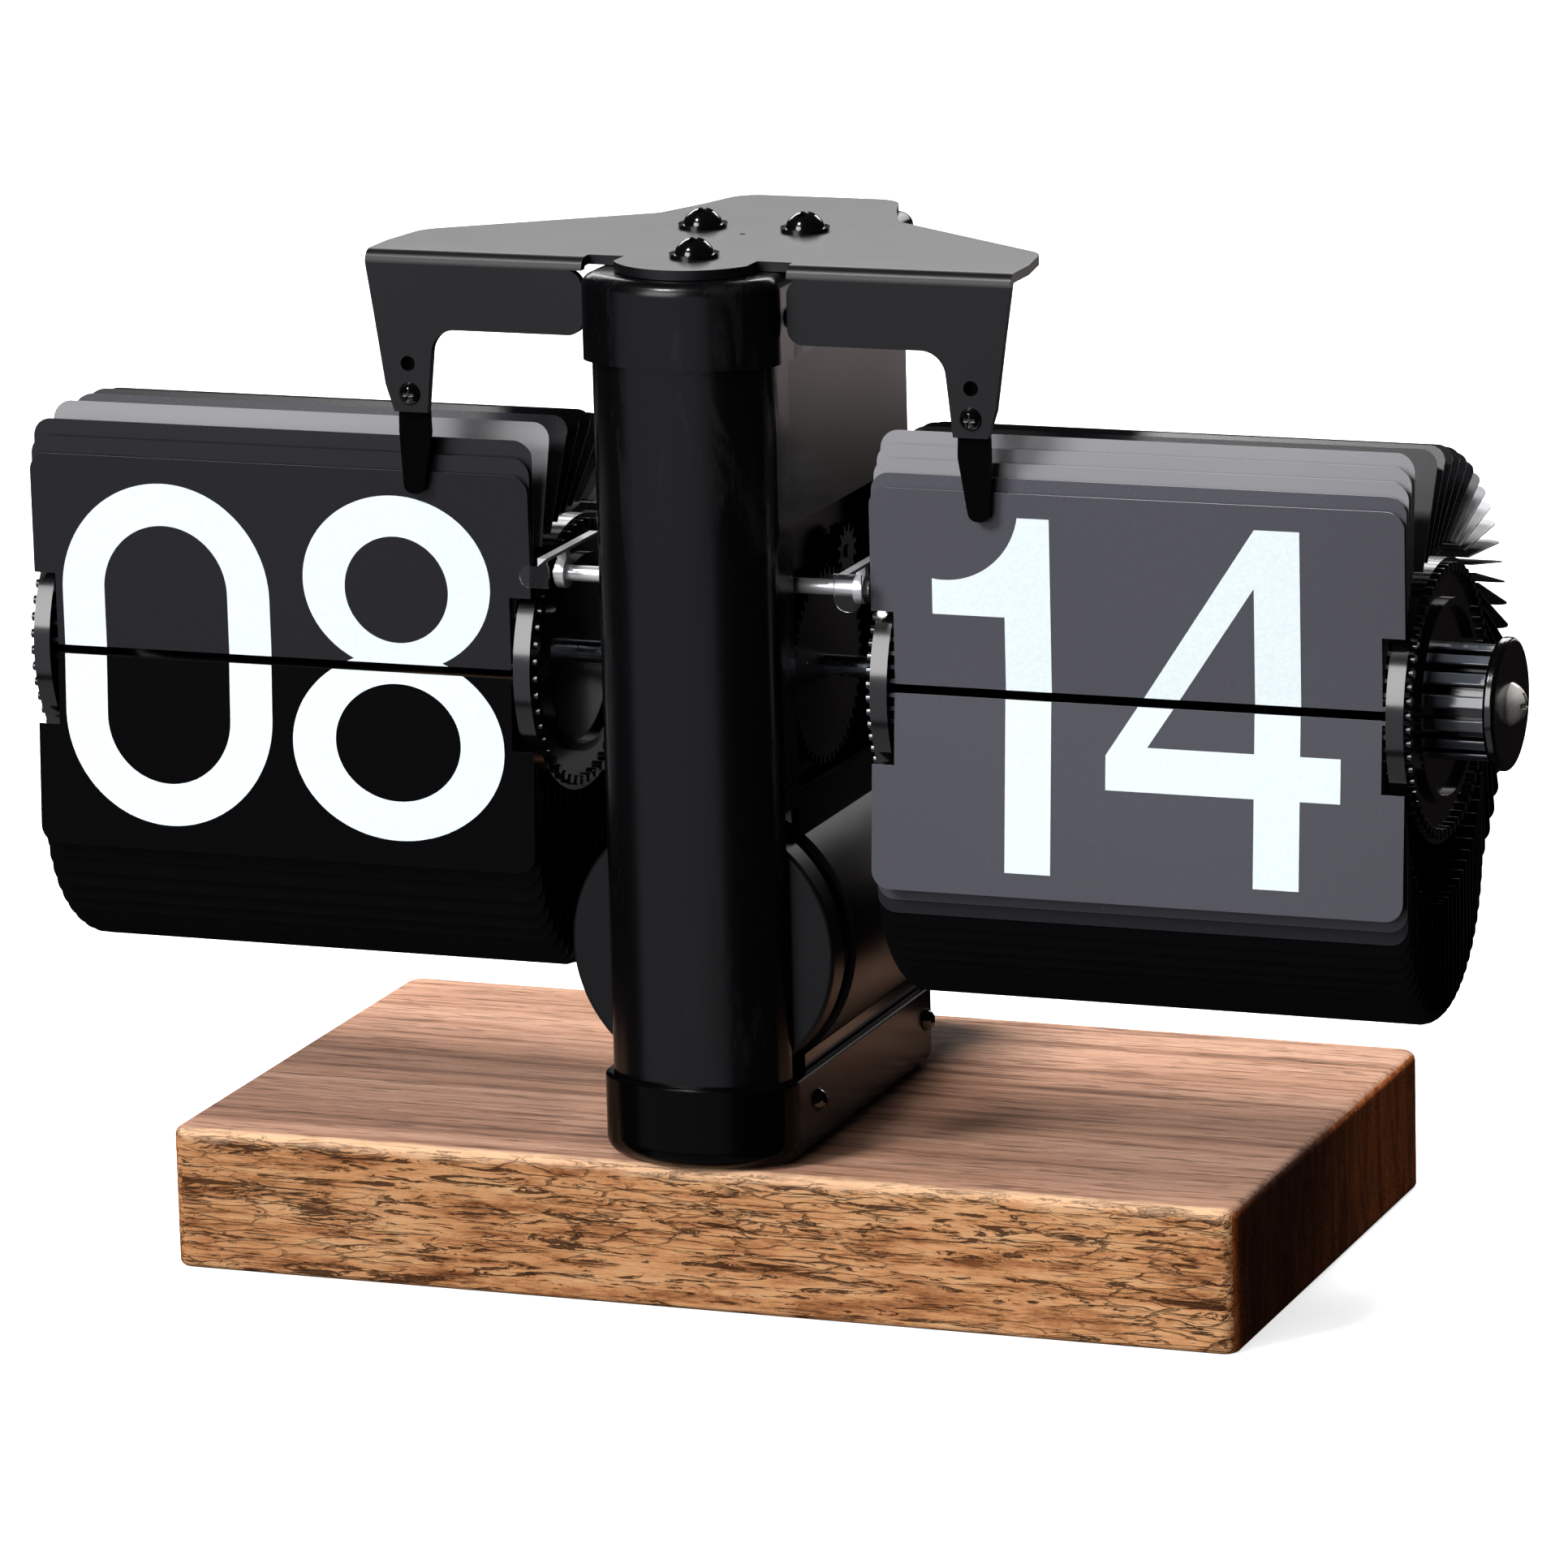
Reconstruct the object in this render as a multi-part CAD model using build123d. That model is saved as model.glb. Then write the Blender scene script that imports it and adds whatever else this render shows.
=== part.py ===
from build123d import *
import math
import os

# Flip number clock: wooden base, black column, two drums of hinged flaps.
# Millimetres. X right, Y to the rear, Z up. Origin: centre of the base underside.

# --- driving dimensions ---------------------------------------------------
BASE_W, BASE_D, BASE_H = 141.8, 78.7, 18.4
AXIS_Y, AXIS_Z = -14.3, 77.6          # common axis of both drums
CARD_W = 68.0                         # width of one flap
CARD_INNER = 22.5                     # distance of a flap's inner edge from the centre plane
CARD_LENGTH = 24.15                   # hinge line to free edge
CARD_T = 0.15
NOTCH_INSET, NOTCH_LENGTH = 2.9, 8.7
PIVOT_R = 16.3                        # circle of the flap hinges
FALL_R = 16.45                        # the flap that has just fallen rides at the outside of its groove
DISC_R, DISC_T = 17.5, 2.2
GROOVE_IN, GROOVE_OUT, GROOVE_DEPTH = 15.4, 17.1, 1.3
RING_R, RING_T = 12.6, 0.8
SHAFT_R = 1.4
COLUMN_HALF = 11.8
SEAM_Y = -28.9
SHELL_REAR = 15.6
CAP_FRONT, CAP_REAR, CAP_HALF = -41.1, 16.8, 12.8
BOTTOM_CAP_TOP = 29.1
TOP_CAP_LOW, TOP_CAP_TOP = 119.4, 130.1
PLATE_TOP, PLATE_T = 131.4, 1.2
FLANGE_Y = -33.0
CELL_Z = 45.0                         # height of the battery axis
CELL_R, CELL_LENGTH = 16.8, 61.0
TUBE_OUT, TUBE_IN = 18.0, 17.1
TUBE_FRONT, TUBE_REAR = -26.5, 35.5
ROD_Y, ROD_Z, ROD_R = -26.0, 90.3, 1.0

CARD_MID = CARD_INNER + CARD_W / 2

os.makedirs("parts", exist_ok=True)
made = {}


def save(name, shapes):
    """Write one node as one STEP file, a single solid or a group of separate solids."""
    solids = shapes if isinstance(shapes, list) else [shapes]
    loose = [s for shape in solids for s in shape.solids()]
    made[name] = loose[0] if len(loose) == 1 else Compound(children=loose)
    made[name].label = name
    export_step(made[name], f"parts/{name}.step")


def box(x0, x1, y0, y1, z0, z1):
    return Pos((x0 + x1) / 2, (y0 + y1) / 2, (z0 + z1) / 2) * Box(x1 - x0, y1 - y0, z1 - z0)


def rod_x(radius, x0, x1, y, z):
    return Pos((x0 + x1) / 2, y, z) * Rot(0, 90, 0) * Cylinder(radius, x1 - x0)


def rod_y(radius, y0, y1, x, z):
    return Pos(x, (y0 + y1) / 2, z) * Rot(90, 0, 0) * Cylinder(radius, y1 - y0)


def rod_z(radius, z0, z1, x, y):
    return Pos(x, y, (z0 + z1) / 2) * Cylinder(radius, z1 - z0)


def tube_x(outer, inner, x0, x1, y, z):
    return rod_x(outer, x0, x1, y, z) - rod_x(inner, x0 - 1, x1 + 1, y, z)


def tube_y(outer, inner, y0, y1, x, z):
    return rod_y(outer, y0, y1, x, z) - rod_y(inner, y0 - 1, y1 + 1, x, z)


def mirror_x(shape):
    return mirror(shape, about=Plane.YZ)


def pan_screw(head_r, head_h, shank_r, shank_l, washer_r=0.0, washer_t=0.0):
    """Domed cross-head screw standing on Z = 0, head up, shank down."""
    dome_r = (head_r ** 2 + head_h ** 2) / (2 * head_h)
    dome = Pos(0, 0, washer_t + head_h - dome_r) * Sphere(dome_r)
    head = dome & Pos(0, 0, washer_t + head_h) * Box(4 * head_r, 4 * head_r, 2 * head_h)
    screw = head + Pos(0, 0, -shank_l / 2) * Cylinder(shank_r, shank_l)
    if washer_t:
        screw += Pos(0, 0, washer_t / 2) * Cylinder(washer_r, washer_t)
    slot_z = washer_t + head_h
    for turn in (0, 90):
        screw -= Pos(0, 0, slot_z) * Rot(0, 0, turn) * Box(head_r * 1.1, head_r * 0.28, head_h * 0.9)
    return screw


# --- base ------------------------------------------------------------------
PAD_X, PAD_Y, PAD_R, PAD_DEPTH = 58.0, 27.0, 6.0, 1.6
BOLT_Y = (-24.0, 6.0)
BOLT_R, BOLT_HEAD_R = 2.0, 4.0

base = Pos(0, 0, BASE_H / 2) * Box(BASE_W, BASE_D, BASE_H)
base = fillet(base.edges().filter_by(Axis.Z), 2.2)
base = fillet(base.faces().sort_by(Axis.Z)[-1].edges(), 1.2)
base = fillet(base.faces().sort_by(Axis.Z)[0].edges(), 0.8)
pad_spots = [(sx * PAD_X, sy * PAD_Y) for sx in (-1, 1) for sy in (-1, 1)]
for px, py in pad_spots:
    base -= rod_z(PAD_R + 0.02, -1, PAD_DEPTH, px, py)
for by in BOLT_Y:
    base -= rod_z(BOLT_R + 0.2, -1, BASE_H + 1, 0, by)
    base -= rod_z(BOLT_HEAD_R + 0.3, -1, 5.5, 0, by)
save("wood_base", base)
save("base_pads", [rod_z(PAD_R, 0, PAD_DEPTH, px, py) for px, py in pad_spots])


def base_bolt(y):
    head = rod_z(BOLT_HEAD_R, 2.5, 5.5, 0, y)
    head -= Pos(0, y, 2.5) * extrude(RegularPolygon(2.0, 6), 1.6)
    return head + rod_z(BOLT_R, 5.5, 25.0, 0, y)


save("base_bolts", [base_bolt(y) for y in BOLT_Y])


# --- column ----------------------------------------------------------------
def column_plan(half, front, rear, bulge, corner, rear_corner):
    """Plan outline of the column: flat sides, shallow curved front with rounded corners."""
    shoulder = front + bulge
    with BuildSketch() as plan:
        with BuildLine():
            ThreePointArc((-half, shoulder), (0, front), (half, shoulder))
            Line((half, shoulder), (half, rear))
            Line((half, rear), (-half, rear))
            Line((-half, rear), (-half, shoulder))
        make_face()
        corners = plan.vertices().group_by(Axis.Y)
        if rear_corner:
            fillet(corners[-1], rear_corner)
        fillet(plan.vertices().group_by(Axis.Y)[0], corner)
    return plan.sketch


def column_block(half, front, rear, z0, z1, bulge=5.4, corner=4.6, rear_corner=3.0):
    return Pos(0, 0, z0) * extrude(column_plan(half, front, rear, bulge, corner, rear_corner), z1 - z0)


WALL = 1.0
TUBE_FACE = CAP_FRONT + 0.9
TUBE_BULGE, TUBE_CORNER = 5.0, 4.2
SHELL_HALF = 11.6


def column_pocket(z0, z1):
    """Space in a cap for the ends of tube and shell."""
    return column_block(COLUMN_HALF + 0.05, TUBE_FACE - 0.05, SHELL_REAR + 0.05, z0, z1,
                        TUBE_BULGE, TUBE_CORNER, 2.0)


# bottom cap: a shallow tray that holds tube and shell
bottom_cap = column_block(CAP_HALF, CAP_FRONT, CAP_REAR, BASE_H, BOTTOM_CAP_TOP)
bottom_cap = fillet(bottom_cap.faces().sort_by(Axis.Z)[0].edges(), 2.6)
bottom_cap = fillet(bottom_cap.faces().sort_by(Axis.Z)[-1].edges(), 0.4)
bottom_cap -= column_pocket(BASE_H + 1.6, BOTTOM_CAP_TOP + 1)
bottom_cap -= rod_y(TUBE_OUT + 0.1, -33.4, 60, 0, CELL_Z)
for by in BOLT_Y:
    bottom_cap += rod_z(4.5, BASE_H + 1.5, 25.4, 0, by)
    bottom_cap -= rod_z(BOLT_R + 0.02, BASE_H - 1, 25.1, 0, by)
CAP_SCREW_Y = (-27.2, 12.6)
CAP_SCREW_Z = 25.0
side_screw = pan_screw(1.5, 1.1, 0.8, 3.0)


def side_screws(half, y_spots, z):
    """Screws driven in from both flat sides of the column."""
    out = []
    for y in y_spots:
        out.append(Pos(half, y, z) * Rot(0, 90, 0) * side_screw)
        out.append(Pos(-half, y, z) * Rot(0, -90, 0) * side_screw)
    return out


def side_holes(shape, half, y_spots, z, radius=0.83):
    for y in y_spots:
        shape -= rod_x(radius, -half - 1, half + 1, y, z)
    return shape


bottom_cap = side_holes(bottom_cap, CAP_HALF, CAP_SCREW_Y, CAP_SCREW_Z)
save("bottom_cap", bottom_cap)

# front tube: curved channel open to the rear
front_tube = column_block(COLUMN_HALF, TUBE_FACE, SEAM_Y, BASE_H + 1.6, TOP_CAP_TOP - 1.3,
                          TUBE_BULGE, TUBE_CORNER, 0)
front_tube -= column_block(COLUMN_HALF - WALL, TUBE_FACE + WALL, SEAM_Y + 5, 0, 140,
                           TUBE_BULGE, TUBE_CORNER - WALL, 0)
front_tube -= box(-20, 20, -33.6, SEAM_Y + 1, CELL_Z - 18.2, CELL_Z + 18.2)
TOP_SCREW_Y, TOP_SCREW_Z = -30.1, 124.6
front_tube = side_holes(front_tube, CAP_HALF, (TOP_SCREW_Y,), TOP_SCREW_Z)
save("front_tube", front_tube)

# rear shell: three-sided channel with side windows for the works and a bore for the battery tube
rear_shell = box(-SHELL_HALF, SHELL_HALF, SEAM_Y + 0.4, SHELL_REAR, BASE_H + 1.6, TOP_CAP_TOP - 1.3)
rear_shell = fillet(rear_shell.edges().filter_by(Axis.Z).group_by(Axis.Y)[-1], 2.2)
rear_shell -= box(-SHELL_HALF + WALL, SHELL_HALF - WALL, SEAM_Y - 1, SHELL_REAR - WALL, 0, 140)
WINDOW_LOW, WINDOW_TOP = 64.2, 98.2
rear_shell -= box(-20, 20, SEAM_Y + 0.1, 6.0, WINDOW_LOW, WINDOW_TOP)
rear_shell -= rod_y(TUBE_OUT + 0.1, -60, 60, 0, CELL_Z)
rear_shell = side_holes(rear_shell, CAP_HALF, CAP_SCREW_Y, CAP_SCREW_Z)
save("rear_shell", rear_shell)

# top cap
top_cap = column_block(CAP_HALF, CAP_FRONT, CAP_REAR, TOP_CAP_LOW, TOP_CAP_TOP)
top_cap = fillet(top_cap.faces().sort_by(Axis.Z)[-1].edges(), 1.7)
top_cap -= column_pocket(TOP_CAP_LOW - 1, TOP_CAP_TOP - 1.3)
PLATE_SCREWS = [(0.0, -29.0), (-6.8, -8.5), (6.8, -8.5)]
for sx, sy in PLATE_SCREWS:
    top_cap -= rod_z(1.23, TOP_CAP_TOP - 3, TOP_CAP_TOP + 1, sx, sy)
top_cap = side_holes(top_cap, CAP_HALF, (TOP_SCREW_Y,), TOP_SCREW_Z)
save("top_cap", top_cap)
save("column_screws", side_screws(CAP_HALF, CAP_SCREW_Y, CAP_SCREW_Z)
     + side_screws(CAP_HALF, (TOP_SCREW_Y,), TOP_SCREW_Z))

# --- top bracket -----------------------------------------------------------
# flat plate with a curved nose, a rear tab and two arms that carry the fingers
half_outline = [
    (42.2, -26.0), (40.9, -17.6), (16.0, 0.2), (12.9, 8.0), (10.6, 15.6),
]
with BuildSketch() as plate_plan:
    with BuildLine():
        points = [(42.2, -32.2)] + half_outline
        mirrored = [(-x, y) for x, y in reversed(points)]
        Polyline(*points, *mirrored, (-13.4, -32.2), (-13.4, -30.4), (-8.7, -30.4), (-8.7, -33.9))
        ThreePointArc((-8.7, -33.9), (0, -38.9), (8.7, -33.9))
        Polyline((8.7, -33.9), (8.7, -30.4), (13.4, -30.4), (13.4, -32.2), (42.2, -32.2))
    make_face()
    rear_tips = [v for v in plate_plan.vertices() if abs(abs(v.X) - 40.9) < 0.1]
    fillet(rear_tips, 4.5)
    tab_tips = [v for v in plate_plan.vertices() if v.Y > 12.0]
    fillet(tab_tips, 4.0)
    waist = [v for v in plate_plan.vertices() if abs(abs(v.X) - 16.0) < 0.1]
    fillet(waist, 3.0)
plate = Pos(0, 0, PLATE_TOP - PLATE_T) * extrude(plate_plan.sketch, PLATE_T)

ARM_LOW = 111.2
with BuildSketch(Plane.XZ) as arm_plan:
    with BuildLine():
        Polyline((13.4, 129.8), (13.4, 121.7), (33.4, 121.7), (34.5, ARM_LOW),
                 (38.9, ARM_LOW), (40.0, 114.6), (41.3, 123.8), (42.2, 129.8), (13.4, 129.8))
    make_face()
    arm_corners = [v for v in arm_plan.vertices() if v.Z < 122.0]
    inner_corner = [v for v in arm_corners if abs(v.X - 13.4) < 0.1]
    fillet(inner_corner, 2.0)
    knee = [v for v in arm_plan.vertices() if abs(v.X - 33.4) < 0.1]
    fillet(knee, 3.2)
    tip = [v for v in arm_plan.vertices() if abs(v.Z - ARM_LOW) < 0.1]
    fillet(tip, 1.1)
arm_face = arm_plan.sketch
arm = Pos(0, FLANGE_Y, 0) * extrude(arm_face, -PLATE_T)


def bend_strip(x0, x1):
    """Quarter-round bend that joins the plate to the upright flange."""
    outer = 1.6
    centre_y, centre_z = FLANGE_Y + outer, PLATE_TOP - outer
    strip = box(x0, x1, FLANGE_Y, centre_y, centre_z, PLATE_TOP)
    ring = tube_x(outer, outer - PLATE_T, x0, x1, centre_y, centre_z)
    return strip & ring


def bracket_half(side):
    flange = arm + bend_strip(13.4, 42.2)
    flange -= rod_y(0.95, FLANGE_Y - 1, FLANGE_Y + 4, 36.9, 117.3)
    flange -= rod_y(0.83, FLANGE_Y - 1, FLANGE_Y + 4, 36.8, 113.5)
    return flange if side > 0 else mirror_x(flange)


plate -= box(-60, 60, -45, FLANGE_Y + 1.6, 120, 140) & (
    box(13.4, 60, -45, FLANGE_Y + 1.6, 120, 140) + box(-60, -13.4, -45, FLANGE_Y + 1.6, 120, 140))
bracket = plate + bracket_half(1) + bracket_half(-1)
for sx, sy in PLATE_SCREWS:
    bracket -= rod_z(1.23, PLATE_TOP - 3, PLATE_TOP + 1, sx, sy)
bracket -= rod_z(0.4, PLATE_TOP - 3, PLATE_TOP + 1, 0, -12.5)
save("top_bracket", bracket)
plate_screw = pan_screw(2.5, 1.9, 1.2, 2.7, 3.1, 0.5)
save("top_bracket_screws", [Pos(sx, sy, PLATE_TOP) * plate_screw for sx, sy in PLATE_SCREWS])

# retaining fingers behind the arm tips, one in front of each upper card
FINGER_T = 0.5
with BuildSketch(Plane.XZ) as finger_plan:
    with BuildLine():
        Polyline((34.9, 118.4), (34.6, 108.5), (35.9, 100.6), (38.5, 100.6), (38.9, 108.5), (38.7, 118.4),
                 (34.9, 118.4))
    make_face()
    fillet([v for v in finger_plan.vertices() if v.Z < 101.0], 1.2)
finger = Pos(0, FLANGE_Y + PLATE_T, 0) * extrude(finger_plan.sketch, -FINGER_T)
finger -= rod_y(0.83, -40, -20, 36.8, 113.5)
save("minute_finger", finger)
save("hour_finger", mirror_x(finger))
finger_screw = pan_screw(1.45, 1.0, 0.8, 2.3)
save("finger_screws", [Pos(x, FLANGE_Y, 113.5) * Rot(90, 0, 0) * finger_screw for x in (-36.8, 36.8)])


# --- flaps -----------------------------------------------------------------
def flap_solid(setback):
    """One flap lying in XY: hinge line on X, free edge at +Y, ears riding in the disc grooves."""
    half = CARD_W / 2
    inner = half - NOTCH_INSET
    ear = half - DISC_T + GROOVE_DEPTH - 0.5
    with BuildSketch() as outline:
        with BuildLine():
            Polyline((-inner, setback), (inner, setback), (inner, NOTCH_LENGTH), (half, NOTCH_LENGTH),
                     (half, CARD_LENGTH), (-half, CARD_LENGTH), (-half, NOTCH_LENGTH),
                     (-inner, NOTCH_LENGTH), (-inner, setback))
        make_face()
        fillet([v for v in outline.vertices() if v.Y > CARD_LENGTH - 0.1], 2.3)
        with Locations((ear - 2, 0), (2 - ear, 0)):
            Rectangle(4, 0.5)
    return Pos(0, 0, -CARD_T / 2) * extrude(outline.sketch, CARD_T)


HANG_FROM = 183                        # hinges past this angle carry flaps that hang straight down


def flap_angle(alpha, first, held, held_lean):
    """Direction of a flap whose hinge sits at angle alpha: 90 up, 180 to the rear, 270 down.

    Its finger keeps the flaps of the first held degrees nearly upright; behind them they fan out.
    """
    turns = [(first, 0), (first + held, held_lean), (first + 30, 29), (100, 96), (HANG_FROM, 178)]
    for (a0, lean0), (a1, lean1) in zip(turns, turns[1:]):
        if alpha <= a1:
            return 90 + lean0 + (alpha - a0) * (lean1 - lean0) / (a1 - a0)
    return 270


def flap_plane(mid_x, alpha, gamma, radius=PIVOT_R):
    a, g = math.radians(alpha), math.radians(gamma)
    origin = (mid_x, AXIS_Y - radius * math.cos(a), AXIS_Z + radius * math.sin(a))
    return Plane(origin=origin, x_dir=(1, 0, 0), z_dir=(0, -math.sin(g), -math.cos(g)))


def ellipse_ring(mid, outer, inner, inner_mid=None):
    ring = Pos(*mid) * Ellipse(*outer)
    return ring - Pos(*(inner_mid or mid)) * Ellipse(*inner)


def digit_zero():
    outer = Pos(-15.8, 0) * RectangleRounded(28.6, 44.0, 14.29)
    inner = Pos(-15.8, 0) * RectangleRounded(17.0, 33.2, 8.49)
    return outer - inner


def digit_eight():
    upper = Pos(15.9, 10.8) * Ellipse(12.7, 11.2)
    lower = Pos(15.7, -10.0) * Ellipse(14.4, 12.0)
    holes = Pos(15.9, 10.0) * Ellipse(7.0, 6.8) + Pos(15.7, -9.5) * Ellipse(8.5, 7.5)
    return upper + lower - holes


def digit_one():
    with BuildSketch() as digit:
        with BuildLine():
            Polyline((-10.8, 22.0), (-10.8, -22.0), (-16.7, -22.0), (-16.7, 9.6), (-26.0, 9.6), (-26.0, 14.0))
            ThreePointArc((-26.0, 14.0), (-18.4, 16.0), (-14.9, 22.0))
            Line((-14.9, 22.0), (-10.8, 22.0))
        make_face()
    return digit.sketch


def digit_four():
    outer = Polyline((15.2, 22.0), (20.9, 22.0), (20.9, -5.5), (26.0, -5.5), (26.0, -11.0), (20.9, -11.0),
                     (20.9, -22.0), (15.1, -22.0), (15.1, -11.0), (-3.8, -11.0), (-3.8, -6.7), (15.2, 22.0))
    hole = Polyline((15.1, 14.8), (15.1, -5.5), (1.5, -5.5), (15.1, 14.8))
    return make_face(outer) - make_face(hole)


NUMERAL_T = 0.05


def numeral_halves(digits, upper_hinge, lower_hinge, pitch_gap):
    """Split the numerals on the gap line and give the upper and lower prints in flap coordinates."""
    split = (upper_hinge + lower_hinge) / 2
    upper = digits & Pos(0, 30 + pitch_gap) * Rectangle(100, 60)
    lower = digits & Pos(0, -30 - pitch_gap) * Rectangle(100, 60)
    up_shift = split - upper_hinge
    low_shift = lower_hinge - split
    top = Pos(0, up_shift, CARD_T / 2) * extrude(upper, NUMERAL_T)
    flipped = mirror(lower, about=Plane.XZ)
    bottom = Pos(0, low_shift, -CARD_T / 2 - NUMERAL_T) * extrude(flipped, NUMERAL_T)
    return top, bottom


def build_display(name, mid_x, count, first, held, held_lean, setback, lower_tilt, digits):
    pitch = 360 / count
    flap = flap_solid(setback)
    groups = {"upper": [], "rear": [], "hanging": []}
    for i in range(1, count - 1):
        alpha = first + i * pitch
        group = "upper" if alpha <= 100 else "rear" if alpha <= HANG_FROM else "hanging"
        gamma = flap_angle(alpha, first, held, held_lean)
        groups[group].append(flap_plane(mid_x, alpha, gamma).location * flap)
    for group, flaps in groups.items():
        save(f"{name}_{group}_flaps", flaps)
    last = first - pitch
    front_plane = flap_plane(mid_x, first, 90).location
    fall_plane = flap_plane(mid_x, last, 270 + lower_tilt, FALL_R).location
    save(f"{name}_upper_card", front_plane * flap)
    save(f"{name}_lower_card", fall_plane * flap)
    top, bottom = numeral_halves(digits, front_plane.position.Z, fall_plane.position.Z, 0.55)
    save(f"{name}_numerals_upper", front_plane * top)
    save(f"{name}_numerals_lower", fall_plane * bottom)
    print(name, "lower card hinge", fall_plane.position, "upper card hinge", front_plane.position)


build_display("minute", CARD_MID, 60, 8.2, 24.0, 6.0, -0.3, 4.5, digit_one() + digit_four())
build_display("hour", -CARD_MID, 48, 5.1, 15.0, 2.0, -0.52, 3.0, digit_zero() + digit_eight())


# --- drums -----------------------------------------------------------------
def disc(x_outer, side):
    """Flap disc: outer face at x_outer, facing the direction given by side."""
    inner_face = x_outer - side * DISC_T
    lo, hi = sorted((x_outer, inner_face))
    body = rod_x(DISC_R, lo, hi, AXIS_Y, AXIS_Z)
    groove_end = inner_face + side * GROOVE_DEPTH
    g_lo, g_hi = sorted((inner_face - side * 0.5, groove_end))
    body -= tube_x(GROOVE_OUT, GROOVE_IN, g_lo, g_hi, AXIS_Y, AXIS_Z) & rod_x(30, g_lo, g_hi, AXIS_Y, AXIS_Z)
    r_lo, r_hi = sorted((x_outer, x_outer + side * RING_T))
    body += tube_x(RING_R, RING_R - 1.0, r_lo, r_hi, AXIS_Y, AXIS_Z) & rod_x(30, r_lo, r_hi, AXIS_Y, AXIS_Z)
    return body - rod_x(SHAFT_R, lo - 3, hi + 3, AXIS_Y, AXIS_Z)


PIN_R, PIN_STAND = 0.6, 0.7


def pin_heads(x_face, side, count):
    """Small round hinge heads standing on a disc face."""
    out = []
    for i in range(count):
        a = 2 * math.pi * i / count
        y, z = AXIS_Y + PIVOT_R * math.cos(a), AXIS_Z + PIVOT_R * math.sin(a)
        lo, hi = sorted((x_face, x_face + side * PIN_STAND))
        out.append(rod_x(PIN_R, lo, hi, y, z))
    return out


CARD_OUTER = CARD_INNER + CARD_W
for name, side, count in (("minute", 1, 60), ("hour", -1, 48)):
    save(f"{name}_inner_disc", disc(side * CARD_INNER, -side))
    save(f"{name}_outer_disc", disc(side * CARD_OUTER, side))
    heads = pin_heads(side * CARD_INNER, -side, count) + pin_heads(side * CARD_OUTER, side, count)
    save(f"{name}_pins", heads)
    lo, hi = sorted((side * (CARD_INNER + DISC_T), side * (CARD_OUTER - DISC_T)))
    save(f"{name}_drum_tube", tube_x(5.0, SHAFT_R, lo, hi, AXIS_Y, AXIS_Z))

# knob on the outer end of the minute drum
KNOB_R, KNOB_END_R, KNOB_RIB_END = 6.2, 8.2, 97.5
RIBS, RIB_WIDTH, RIB_HEIGHT = 15, 1.6, 0.9
knob_x0 = CARD_OUTER
knob = rod_x(KNOB_R, knob_x0, KNOB_RIB_END, AXIS_Y, AXIS_Z)
rib = box(knob_x0, KNOB_RIB_END, KNOB_R - 0.8, KNOB_R + RIB_HEIGHT, -RIB_WIDTH / 2, RIB_WIDTH / 2)
rib = fillet(rib.edges().filter_by(Axis.X).group_by(Axis.Y)[-1], 0.25)
for i in range(RIBS):
    knob += Pos(0, AXIS_Y, AXIS_Z) * Rot(360 * i / RIBS, 0, 0) * rib
knob_end = rod_x(KNOB_END_R, KNOB_RIB_END, 99.0, AXIS_Y, AXIS_Z)
knob_end = fillet(knob_end.edges(), 0.5)
knob += knob_end
knob -= rod_x(SHAFT_R, 80, 110, AXIS_Y, AXIS_Z)
save("setting_knob", knob)
save("knob_screw", Pos(99.0, AXIS_Y, AXIS_Z) * Rot(0, 90, 0) * pan_screw(2.7, 1.9, 1.3, 4.0))

# shafts reach from the works out through each drum
save("minute_shaft", rod_x(SHAFT_R, 0.6, 95.0, AXIS_Y, AXIS_Z))
save("hour_shaft", rod_x(SHAFT_R, -91.3, -0.6, AXIS_Y, AXIS_Z))


# --- wheel train -----------------------------------------------------------
def gear(teeth, module, x0, x1, y, z, bore, phase=0.0):
    """Spur wheel about X. Phase is the angle in degrees of one tooth from +Y towards +Z."""
    pitch_r = teeth * module / 2
    root, tip = pitch_r - 1.15 * module, pitch_r + 0.75 * module
    step = 2 * math.pi / teeth
    outline = []
    for i in range(teeth):
        mid = math.radians(phase) + i * step
        for radius, offset in ((root, -0.26), (tip, -0.11), (tip, 0.11), (root, 0.26)):
            a = mid + offset * step
            outline.append((radius * math.cos(a), radius * math.sin(a)))
    face = make_face(Polyline(*outline, outline[0]))
    wheel = Plane(origin=(x0, y, z), x_dir=(0, 1, 0), z_dir=(1, 0, 0)).location * extrude(face, x1 - x0)
    return wheel - rod_x(bore, x0 - 1, x1 + 1, y, z)


TRAIN_GAP = 0.12                       # extra centre distance that gives the teeth backlash
DRIVE_TEETH, PINION_TEETH, DRIVE_MODULE = 48, 12, 0.5
STEP_TEETH, WHEEL_TEETH, STEP_MODULE = 12, 48, 0.4
SMALL_TEETH, HOUR_TEETH = 10, 60
HOUR_MODULE = STEP_MODULE * (STEP_TEETH + WHEEL_TEETH) / (SMALL_TEETH + HOUR_TEETH)
ARBOR_Y = AXIS_Y + STEP_MODULE * (STEP_TEETH + WHEEL_TEETH) / 2 + TRAIN_GAP
PINION_ANGLE = 60.0
pinion_dist = DRIVE_MODULE * (DRIVE_TEETH + PINION_TEETH) / 2 + TRAIN_GAP
PINION_Y = AXIS_Y + pinion_dist * math.cos(math.radians(PINION_ANGLE))
PINION_Z = AXIS_Z + pinion_dist * math.sin(math.radians(PINION_ANGLE))

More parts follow.
